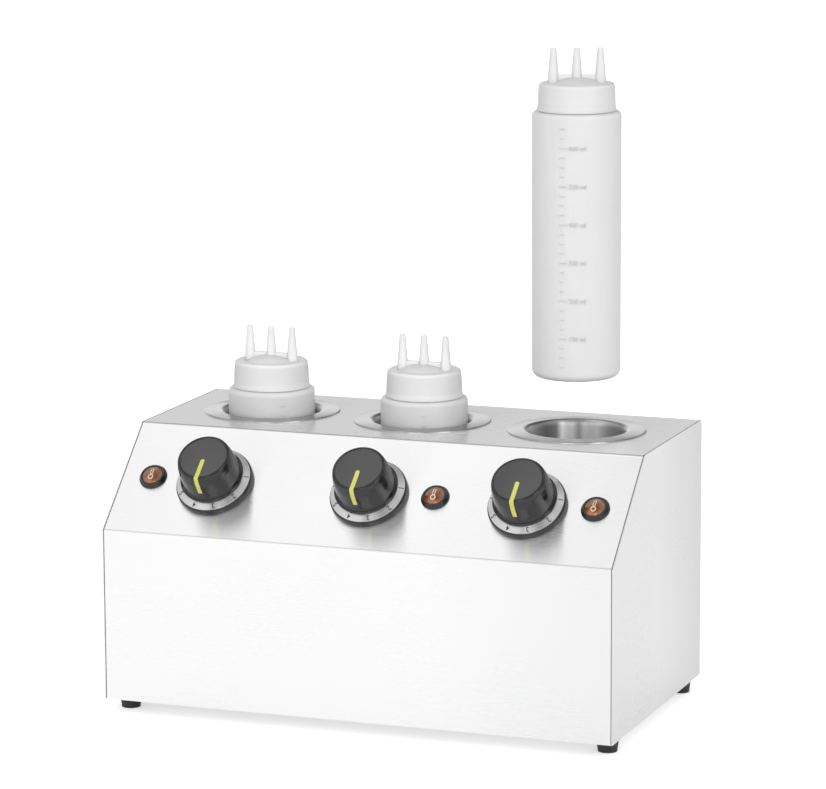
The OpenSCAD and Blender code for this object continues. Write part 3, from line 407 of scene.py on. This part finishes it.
# Heating: a band heater clamped round each well in a sleeve of glass-fibre board, with a cut-out riveted to
# the tray under it. None of it shows, apart from glimpses through the vents.
heater_steel = plated_steel("heater_sheath", (0.34, 0.32, 0.29), (0.46, 0.44, 0.41), 0.42)
dress(heater_steel, "band_heaters")
dress(zinc, "heater_clamp_screws", "heater_clamp_nuts", "cutout_rivets", "thermal_cutouts")
fibre = moulded("glass_fibre", (0.62, 0.58, 0.48), (0.74, 0.71, 0.62), 0.85, 300, 0.4 * MM, 90)
dress(fibre, "insulation_sleeves")


# Thermostats: plated boxes screwed behind the slope, each with a copper tube that ends in a bulb beside its
# well. Their spindles reach out through the slope into the knobs.
copper = plated_steel("copper_tube", (0.62, 0.3, 0.19), (0.8, 0.43, 0.29), 0.3)
dress(copper, "capillary_sensors")
dress(zinc, "thermostat_1", "thermostat_2", "thermostat_3", "thermostat_screws",
      "spindle_1", "spindle_2", "spindle_3")


# Dials: a black moulded base with a turned aluminium ring pressed on, numbered with black print. The numbers
# stand with their heads outwards, and stay still while the knob turns.
SLOPE_UP = Vector((0, 0.73889, 0.67383))
SLOPE_OUT = Vector((0, -0.67383, 0.73889))
DIAL_X = WELL_X
DIAL_FOOT = Vector((0, -0.07708, 0.18304))
black_gloss = moulded("black_dial", (0.011, 0.011, 0.012), (0.017, 0.017, 0.018), 0.26, 500)
dress(black_gloss, "dial_base_1", "dial_base_2", "dial_base_3")


def from_dial(material, x):
    """A place as seen from the foot of a dial's axis."""
    return on_vectors(material, "SUBTRACT", object_place(material), (x, DIAL_FOOT.y, DIAL_FOOT.z))


def turned_aluminium(name, x):
    """Aluminium faced on a lathe, so its fine rings run round the knob's sloping axis."""
    material, shader = new_finish(name, (0.72, 0.72, 0.72), 0.34, 1.0)
    level = add_node(material, "ShaderNodeMapping", vector_type="TEXTURE")
    level.inputs["Location"].default_value = (x, DIAL_FOOT.y, DIAL_FOOT.z)
    level.inputs["Rotation"].default_value = (math.atan2(SLOPE_UP.z, SLOPE_UP.y), 0, 0)
    join(material, object_place(material), level.inputs["Vector"])
    split = parts_of(material, level.outputs[0])
    flat = add_node(material, "ShaderNodeCombineXYZ")
    join(material, split["X"], flat.inputs["X"])
    join(material, split["Y"], flat.inputs["Y"])
    ringed = add_node(material, "ShaderNodeCombineXYZ")
    join(material, on_vectors(material, "LENGTH", flat.outputs[0]), ringed.inputs["X"])
    rings = grain(material, (5200, 1, 1), 3.0, source=ringed.outputs[0])
    join(material, tint(material, rings, (0.56, 0.56, 0.56), (0.72, 0.72, 0.72)), shader.inputs["Base Color"])
    join(material, between(material, rings, 0.22, 0.3), shader.inputs["Roughness"])
    round_it = on_vectors(material, "CROSS_PRODUCT", from_dial(material, x), SLOPE_OUT)
    join(material, round_it, shader.inputs["Tangent"])
    shader.inputs["Anisotropic"].default_value = 0.9
    shader.inputs["Anisotropic Rotation"].default_value = 0.25
    raise_grain(material, shader, rings, 0.15, 0.03 * MM)
    return material


def take(*pieces):
    """Selects pieces, the first as the active one."""
    bpy.ops.object.select_all(action="DESELECT")
    for piece in pieces:
        piece.select_set(True)
    bpy.context.view_layer.objects.active = pieces[0]


def settle(*pieces):
    """Writes the places, turns and scales of pieces into their meshes."""
    take(*pieces)
    bpy.ops.object.transform_apply(location=True, rotation=True, scale=True)


def finish_mesh(piece, material, body, angle=35):
    """Sets a modelled piece's place, shading and finish, and makes it ride on its body."""
    settle(piece)
    bpy.ops.object.shade_smooth_by_angle(angle=math.radians(angle))
    piece.data.materials.clear()
    piece.data.materials.append(material)
    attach(piece, body)


def use_modifier(piece, kind, **settings):
    take(piece)
    step = piece.modifiers.new(kind.lower(), kind)
    for key, value in settings.items():
        setattr(step, key, value)
    bpy.ops.object.modifier_apply(modifier=step.name)


PRINT_HEIGHT = 12 * MM


def print_on(piece, surface, cuts):
    """Lays a flat piece, which faces a surface from PRINT_HEIGHT over the slope, on it as a film of ink."""
    use_modifier(piece, "SUBSURF", subdivision_type="SIMPLE", levels=cuts)
    use_modifier(piece, "SHRINKWRAP", target=surface, wrap_method="PROJECT", use_project_z=True,
                 use_negative_direction=True, use_positive_direction=False, offset=0.05 * MM)
    use_modifier(piece, "SOLIDIFY", thickness=0.03 * MM, offset=1.0)


def join_pieces(pieces, name):
    take(*pieces)
    if len(pieces) > 1:
        bpy.ops.object.join()
    pieces[0].name = pieces[0].data.name = name
    return pieces[0]


DIGIT_SHARE = 0.7


def flat_text(words, height, bolder):
    """Flat letters as a mesh, centred on the origin in XY, each stroke made bolder on both sides. The digits
    of the font stand to DIGIT_SHARE of its size."""
    bpy.ops.object.select_all(action="DESELECT")
    bpy.ops.object.text_add(location=(0, 0, 0))
    text = bpy.context.object
    text.data.body = words
    text.data.align_x, text.data.align_y = "CENTER", "CENTER"
    text.data.size = height / DIGIT_SHARE
    text.data.offset = bolder
    bpy.ops.object.convert(target="MESH")
    return bpy.context.object


def slope_place(x, clock, reach, lift):
    """Where something stands on the slope: its head points away from the dial's centre at a clock angle."""
    out = SLOPE_UP * math.cos(clock) + Vector((1, 0, 0)) * math.sin(clock)
    side = Vector((1, 0, 0)) * math.cos(clock) - SLOPE_UP * math.sin(clock)
    spot = DIAL_FOOT + Vector((x, 0, 0)) + out * reach + SLOPE_OUT * lift
    turn = Matrix((side, out, SLOPE_OUT)).transposed().to_4x4()
    return Matrix.Translation(spot) @ turn


NUMBER_CLOCK = (0, 82, 125, 163, 197, 234, 272)
DIGIT_H, DIGIT_REACH = 3.8 * MM, 27.2 * MM
ink = moulded("black_print", (0.012, 0.012, 0.013), (0.03, 0.03, 0.031), 0.5, 1500, 0.01 * MM)
for count, x in enumerate(DIAL_X, 1):
    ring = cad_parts[f"dial_ring_{count}"]
    dress(turned_aluminium(f"turned_ring_{count}", x), ring.name)
    numbers = []
    for number, clock in enumerate(NUMBER_CLOCK):
        digit = flat_text(str(number), DIGIT_H, 0.06 * MM)
        digit.matrix_world = slope_place(x, math.radians(clock), DIGIT_REACH, PRINT_HEIGHT)
        print_on(digit, ring, 2)
        numbers.append(digit)
    settle(*numbers)
    finish_mesh(join_pieces(numbers, f"dial_numbers_{count}"), ink, "housing")


# Knobs: black mouldings, glossy down the side and matted on the dished top, with a lime pointer let into the
# top and down the side. The matted top is also painted lighter, as light falling on it from above; it is found
# by its height over the slope and its distance from the foot.
FACE_HEIGHT = (32.8 * MM, 33.2 * MM)
FACE_REACH = (39.3 * MM, 39.6 * MM)


def satin_knob(name, x):
    material = moulded(name, (0.006, 0.006, 0.007), (0.01, 0.01, 0.011), 0.2, 1100, 0.01 * MM)
    shader = material.node_tree.nodes["Principled BSDF"]
    shader.inputs["Specular IOR Level"].default_value = 0.55
    spot = from_dial(material, x)
    height = on_vectors(material, "DOT_PRODUCT", spot, SLOPE_OUT)
    matted_lit_face = calculate(material, "MULTIPLY", between(material, height, 0.0, 1.0, *FACE_HEIGHT),
                     between(material, on_vectors(material, "LENGTH", spot), 1.0, 0.0, *FACE_REACH))
    # Painted light: the matted top is made lighter than the side, as lit from above.
    painted_top_light = add_node(material, "ShaderNodeMix", data_type="RGBA")
    join(material, matted_lit_face, painted_top_light.inputs["Factor"])
    join(material, shader.inputs["Base Color"].links[0].from_socket, painted_top_light.inputs[6])
    painted_top_light.inputs[7].default_value = (0.055, 0.055, 0.057, 1)
    join(material, painted_top_light.outputs[2], shader.inputs["Base Color"])
    matted = calculate(material, "ADD", shader.inputs["Roughness"].links[0].from_socket,
                       between(material, matted_lit_face, -0.04, 0.1, 0.0, 1.0))
    join(material, matted, shader.inputs["Roughness"])
    return material


lime = moulded("lime_plastic", (0.6, 0.62, 0.13), (0.68, 0.69, 0.17), 0.42, 900, 0.02 * MM)
for count, x in enumerate(DIAL_X, 1):
    dress(satin_knob(f"satin_black_knob_{count}", x), f"knob_{count}")
    dress(lime, f"pointer_{count}")


# Pilot lamps: a black plastic barrel that a nut holds behind the slope, with a domed amber lens, dotted
# inside, and a pale thermometer on it. The lens has a painted orange glow at its low rim and a pale painted
# reflection of the room at its top.
LAMP_X = (-0.184, 0.054, 0.184)
LAMP_UP, LENS_REACH = 1.8 * MM, 7 * MM
LENS_MIDDLE = DIAL_FOOT.dot(SLOPE_UP) + LAMP_UP
LENS_PAINTED_LIGHT = ((0.0, (0.5, 0.16, 0.025)), (0.3, (0.22, 0.055, 0.008)), (0.6, (0.24, 0.08, 0.025)),
             (1.0, (0.38, 0.22, 0.15)))
dress(black_gloss, "lamp_body_1", "lamp_body_2", "lamp_body_3", "lamp_nuts")
amber, amber_shader = new_finish("amber_lens", (0.3, 0.08, 0.015), 0.1)
dots = add_node(amber, "ShaderNodeTexVoronoi", Scale=1300.0)
join(amber, object_place(amber), dots.inputs["Vector"])
climb = on_vectors(amber, "DOT_PRODUCT", object_place(amber), SLOPE_UP)
climbed = between(amber, climb, 0.0, 1.0, LENS_MIDDLE - LENS_REACH, LENS_MIDDLE + LENS_REACH)
# Painted light on the lens: an orange glow low down and a pale reflection of the room at the top.
join(amber, ramp_of(amber, climbed, LENS_PAINTED_LIGHT), amber_shader.inputs["Base Color"])
shade_colour(amber, between(amber, dots.outputs["Distance"], 1.15, 0.55))
join(amber, between(amber, grain(amber, (300, 300, 300)), 0.08, 0.14), amber_shader.inputs["Roughness"])
amber_shader.inputs["Coat Weight"].default_value = 1.0
amber_shader.inputs["Coat Roughness"].default_value = 0.04
raise_grain(amber, amber_shader, dots.outputs["Distance"], 0.1, 0.08 * MM)
dress(amber, "lamp_lens_1", "lamp_lens_2", "lamp_lens_3")

BULB_UP, STEM_UP = LAMP_UP - 3.0 * MM, LAMP_UP + 0.1 * MM
pale_print = moulded("pale_print", (0.78, 0.6, 0.4), (0.9, 0.74, 0.55), 0.5, 1500, 0.01 * MM)


def outline_of(radius, line, rise):
    """A flat ring, or an upright capsule when rise is above zero."""
    bpy.ops.object.select_all(action="DESELECT")
    bpy.ops.mesh.primitive_circle_add(vertices=40, radius=radius, fill_type="NGON")
    shape = bpy.context.object
    bpy.ops.object.mode_set(mode="EDIT")
    bpy.ops.mesh.select_all(action="SELECT")
    bpy.ops.mesh.inset(thickness=line)
    bpy.ops.mesh.delete(type="ONLY_FACE")
    bpy.ops.object.mode_set(mode="OBJECT")
    for corner in shape.data.vertices:
        if corner.co.y > 0:
            corner.co.y += rise
    return shape


for count, x in enumerate(LAMP_X, 1):
    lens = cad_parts[f"lamp_lens_{count}"]
    bulb = outline_of(2.2 * MM, 0.8 * MM, 0)
    stem = outline_of(1.2 * MM, 0.55 * MM, 3.6 * MM)
    bulb.matrix_world = slope_place(x, 0, BULB_UP, PRINT_HEIGHT)
    stem.matrix_world = slope_place(x, 0, STEM_UP, PRINT_HEIGHT)
    for part in (bulb, stem):
        print_on(part, lens, 3)
        settle(part)
    thermometer = join_pieces([bulb, stem], f"lamp_thermometer_{count}")
    finish_mesh(thermometer, pale_print, "housing")


# Power inlet: a ceramic terminal block with plated screws, a brass earth stud, and a nylon gland, which a nut
# holds low in the back panel.
ceramic = moulded("glazed_ceramic", (0.74, 0.73, 0.69), (0.85, 0.84, 0.81), 0.3, 400, 0.04 * MM)
brass = plated_steel("brass", (0.6, 0.44, 0.16), (0.74, 0.56, 0.24), 0.3)
dress(ceramic, "terminal_block")
dress(zinc, "terminal_screws")
dress(brass, "earth_stud")
nylon = moulded("black_nylon", (0.014, 0.014, 0.015), (0.024, 0.024, 0.025), 0.42, 700, 0.04 * MM)
dress(nylon, "cable_gland", "gland_nut")


# Bottles: blown from milky polyethylene. A moulded scale stands on each, with a tick every 25 ml and a longer
# one with its number every 100 ml.
def milk(name, roughness, pale, painted_edge_shade):
    """Milky plastic, with painted shade that darkens it where its wall is seen at a grazing angle."""
    material, shader = new_finish(name, (pale, pale, pale), roughness)
    flow = grain(material, (28, 28, 9), 3.0)
    skin = grain(material, (500, 500, 500), 3.0)
    own = tint(material, flow, (pale * 0.96,) * 3, (pale,) * 3)
    facing = add_node(material, "ShaderNodeLayerWeight", Blend=0.5)
    # Painted shade: the colour darkens where the wall is seen at a grazing angle.
    share = between(material, facing.outputs["Facing"], 1.0, painted_edge_shade, 0.0, 1.0)
    join(material, on_vectors(material, "SCALE", own, share), shader.inputs["Base Color"])
    join(material, between(material, skin, roughness - 0.05, roughness + 0.05), shader.inputs["Roughness"])
    shader.inputs["Subsurface Weight"].default_value = 0.6
    shader.inputs["Subsurface Radius"].default_value = (1.0, 1.0, 1.0)
    shader.inputs["Subsurface Scale"].default_value = 0.004
    shader.inputs["IOR"].default_value = 1.45
    raise_grain(material, shader, skin, 0.12, 0.05 * MM)
    return material


BOTTLE_BOXES = [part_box(f"bottle_{count}") for count in (1, 2, 3)]
BOTTLE_FOOT = [low.z for low, high in BOTTLE_BOXES]
BOTTLE_X = [(low.x + high.x) / 2 for low, high in BOTTLE_BOXES]
BOTTLE_R = 35 * MM
MARK_R = BOTTLE_R + 0.02 * MM
MARK_PITCH, FIRST_MARK = 29.9 * MM, 34.4 * MM
MARK_TURN = (38, 20, 0)
NUMBERED = 6
dress(milk("bottle_polyethylene", 0.36, 0.95, 0.6), "bottle_1", "bottle_2", "bottle_3")
scale_milk = milk("scale_polyethylene", 0.3, 0.89, 0.6)


def stand_up(piece, across, height):
    """Turns a piece from XY to XZ and sets its middle."""
    piece.matrix_world = Matrix.Translation((across, 0, height)) @ Matrix.Rotation(math.radians(90), 4, "X")
    settle(piece)


def scale_marks():
    """The raised scale, flat in XZ, with heights from a bottle's foot: ticks at the left, numbers right."""
    made = []
    for step in range(-3, 23):
        height = FIRST_MARK + step * MARK_PITCH / 4
        longer = step % 4 == 0
        bpy.ops.object.select_all(action="DESELECT")
        bpy.ops.mesh.primitive_plane_add(size=1, location=(0, 0, 0))
        tick = bpy.context.object
        bpy.ops.object.mode_set(mode="EDIT")
        bpy.ops.mesh.subdivide(number_cuts=5)
        bpy.ops.transform.resize(value=((6.1 if longer else 4.0) * MM, 0.8 * MM, 1))
        bpy.ops.object.mode_set(mode="OBJECT")
        stand_up(tick, (0.6 if longer else -0.4) * MM, height)
        made.append(tick)
        if longer and step // 4 < NUMBERED:
            label = flat_text(f"{100 * (step // 4 + 1)} ml", 3.6 * MM, 0.1 * MM)
            stand_up(label, 12 * MM, height)
            made.append(label)
    return join_pieces(made, "bottle_scale")


flat_scale = scale_marks()
for count, (x, foot, turn) in enumerate(zip(BOTTLE_X, BOTTLE_FOOT, MARK_TURN), 1):
    marks = flat_scale.copy()
    marks.data = flat_scale.data.copy()
    marks.name = marks.data.name = f"bottle_scale_{count}"
    bpy.context.scene.collection.objects.link(marks)
    for corner in marks.data.vertices:
        angle = math.radians(turn) + corner.co.x / BOTTLE_R
        corner.co = Vector((x + MARK_R * math.sin(angle), WELL_Y - MARK_R * math.cos(angle),
                            corner.co.z + foot))
    use_modifier(marks, "SOLIDIFY", thickness=0.4 * MM, offset=0.0)
    finish_mesh(marks, scale_milk, f"squeeze_bottle_{count}")
bpy.data.objects.remove(flat_scale)


# Caps: injection-moulded from the same plastic, screwed on the necks. Two have skirts with fine ribs for grip,
# and the third is plain. On each, three nozzles stand in a row on a domed top, tied together by a thin web.
ribbed_milk = milk("ribbed_cap_polyethylene", 0.36, 0.95, 0.55)
# The plain cap is the same plastic as the others, painted a darker tone as shade.
plain_cap_shaded_milk = milk("plain_cap_polyethylene_painted_shade", 0.36, 0.83, 0.65)
CAP_H = 21.5
CAP_SKIRT = ((31.1, 0.0), (31.1, 0.8), (30.5, 3.5), (30.4, 4.4), (30.35, 5.0), (30.15, 12.9), (29.9, 15.8),
             (29.85, 16.6), (29.6, CAP_H - 2.5), (29.41, CAP_H - 1.54), (28.87, CAP_H - 0.73),
             (28.06, CAP_H - 0.19), (27.1, CAP_H), (22.0, CAP_H), (21.4, CAP_H - 0.4), (21.0, CAP_H - 1.2))
DOME_R, DOME_TOP = 43.53, CAP_H + 4.2
WEB_TOP = DOME_TOP + 1.8
NOZZLE_TIP = CAP_H + 27.0
NOZZLE_X = (-18.3, 0.0, 18.3)
NOZZLE_WALL = ((0.0, CAP_H - 2.0), (4.8, CAP_H - 2.0), (4.75, CAP_H - 1.2), (2.34, NOZZLE_TIP - 0.4),
               (2.26, NOZZLE_TIP - 0.12), (2.1, NOZZLE_TIP), (1.3, NOZZLE_TIP), (0.0, NOZZLE_TIP))
NOZZLE_BORE = ((0.0, 15.0), (1.3, 15.0), (1.3, 60.0), (0.0, 60.0))
CAP_INSIDE = ((0.0, CAP_H + 0.3), (8.0, CAP_H - 0.5), (15.0, CAP_H - 1.8), (20.0, CAP_H - 3.1),
              (28.2, CAP_H - 3.1), (28.2, 0.0))
CAP_STEPS = 144
RIB_LOW, RIB_HIGH, RIB_R, RIB_DEPTH = 3.6 * MM, 17.0 * MM, 29.5 * MM, 0.25 * MM
WEB_T, WEB_FOOT, WEB_REACH = 4.0, CAP_H - 1.2, 17.4
NOZZLE_STEPS, BORE_STEPS = 48, 32
NOZZLE_TURN, BORE_TURN = math.tau / 96, math.tau / 60


def spin_profile(points, steps, name):
    """Turns a profile of radius and height round Z and closes it."""
    mesh = bpy.data.meshes.new(name)
    edges = [(step, step + 1) for step in range(len(points) - 1)]
    mesh.from_pydata([(reach * MM, 0, height * MM) for reach, height in points], edges, [])
    shape = bpy.data.objects.new(name, mesh)
    bpy.context.scene.collection.objects.link(shape)
    take(shape)
    bpy.ops.object.mode_set(mode="EDIT")
    bpy.ops.mesh.select_all(action="SELECT")
    bpy.ops.mesh.spin(steps=steps, angle=math.tau, center=(0, 0, 0), axis=(0, 0, 1))
    bpy.ops.mesh.select_all(action="SELECT")
    bpy.ops.mesh.remove_doubles(threshold=0.00001)
    bpy.ops.mesh.normals_make_consistent(inside=False)
    bpy.ops.object.mode_set(mode="OBJECT")
    return shape


def dome_point(r):
    return (r, DOME_TOP - DOME_R + math.sqrt(DOME_R ** 2 - r ** 2))


def cut_or_add(shape, tool, operation):
    use_modifier(shape, "BOOLEAN", operation=operation, solver="EXACT", object=tool)
    bpy.data.objects.remove(tool)


def cap_shape(ribbed):
    dome = [dome_point(21.0 * (1 - step / 10)) for step in range(0, 11)]
    shape = spin_profile([*CAP_SKIRT[:-1], *dome, *CAP_INSIDE, CAP_SKIRT[0]], CAP_STEPS, "cap_shape")
    if ribbed:
        for corner in shape.data.vertices:
            column = round(math.atan2(corner.co.y, corner.co.x) / math.tau * CAP_STEPS)
            reach = corner.co.xy.length
            if column % 2 and RIB_LOW < corner.co.z < RIB_HIGH and reach > RIB_R:
                corner.co.xy *= (reach - RIB_DEPTH) / reach
    bpy.ops.object.select_all(action="DESELECT")
    bpy.ops.mesh.primitive_cube_add(size=1, location=(0, 0, 0))
    web = bpy.context.object
    web.scale = (2 * WEB_REACH * MM, WEB_T * MM, (WEB_TOP - WEB_FOOT) * MM)
    web.location = (0, 0, (WEB_TOP + WEB_FOOT) / 2 * MM)
    settle(web)
    use_modifier(web, "BEVEL", width=0.6 * MM, segments=3)
    cut_or_add(shape, web, "UNION")
    for place in NOZZLE_X:
        nozzle = spin_profile(NOZZLE_WALL, NOZZLE_STEPS, "nozzle")
        nozzle.location.x = place * MM
        nozzle.rotation_euler.z = NOZZLE_TURN
        cut_or_add(shape, nozzle, "UNION")
    for place in NOZZLE_X:
        bore = spin_profile(NOZZLE_BORE, BORE_STEPS, "bore")
        bore.location.x = place * MM
        bore.rotation_euler.z = BORE_TURN
        cut_or_add(shape, bore, "DIFFERENCE")
    return shape


CAP_TURN = (0, 0, 20.6)
for count, (x, turn) in enumerate(zip(BOTTLE_X, CAP_TURN), 1):
    ribbed = count < 3
    cap = cap_shape(ribbed)
    cap.name = cap.data.name = f"nozzle_cap_{count}"
    cap.matrix_world = Matrix.Translation((x, WELL_Y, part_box(f"bottle_cap_{count}")[0].z)) @ \
        Matrix.Rotation(math.radians(turn), 4, "Z")
    finish_mesh(cap, ribbed_milk if ribbed else plain_cap_shaded_milk, f"screw_cap_{count}", 30)
    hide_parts(f"bottle_cap_{count}")
